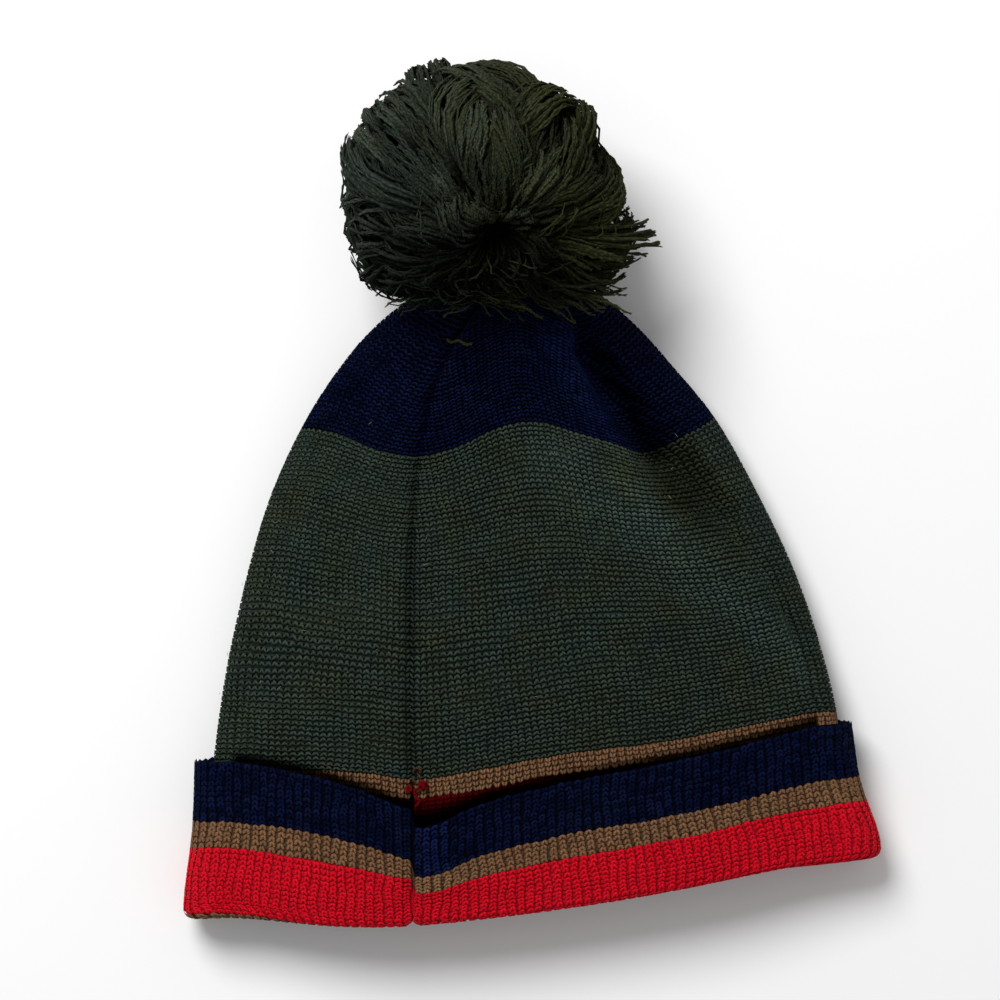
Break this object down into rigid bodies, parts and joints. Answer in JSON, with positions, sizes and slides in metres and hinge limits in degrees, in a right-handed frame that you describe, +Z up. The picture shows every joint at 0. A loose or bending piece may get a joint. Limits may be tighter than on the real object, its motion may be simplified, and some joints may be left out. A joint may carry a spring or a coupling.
{
  "type": "knitted pompom hat",
  "caption": "Knitted wool hat with a turned-up striped cuff, a shaped crown with a back seam and a yarn pompom, lying flat.",
  "frame": {"origin": "on the underside of the crown, where it rests on the table, a little above the middle of the hat's length", "axes": "+X across the hat to the right, +Y from the cuff to the pompom, +Z up from the table, through the back seam's side"},
  "size_m": [0.2309, 0.2836, 0.0868],
  "materials": {
    "navy_wool": "knitted wool, soft and matt",
    "tan_wool": "knitted wool, soft and matt",
    "red_wool": "knitted wool, soft and matt",
    "green_wool": "knitted wool, soft, matt and slightly mottled",
    "olive_yarn": "cut wool yarn, twisted strands with frayed ends"
  },
  "bodies": {
    "root": {"cuff_edge_navy": "navy_wool", "cuff_stripe_tan": "tan_wool", "cuff_band_red": "red_wool", "hem_fold_tan": "tan_wool", "inner_band_navy": "navy_wool", "inner_band_red": "red_wool", "crown_stripe_tan": "tan_wool", "crown_body_green": "green_wool", "crown_top_navy": "navy_wool", "pompom": "olive_yarn"}
  },
  "joints": []
}
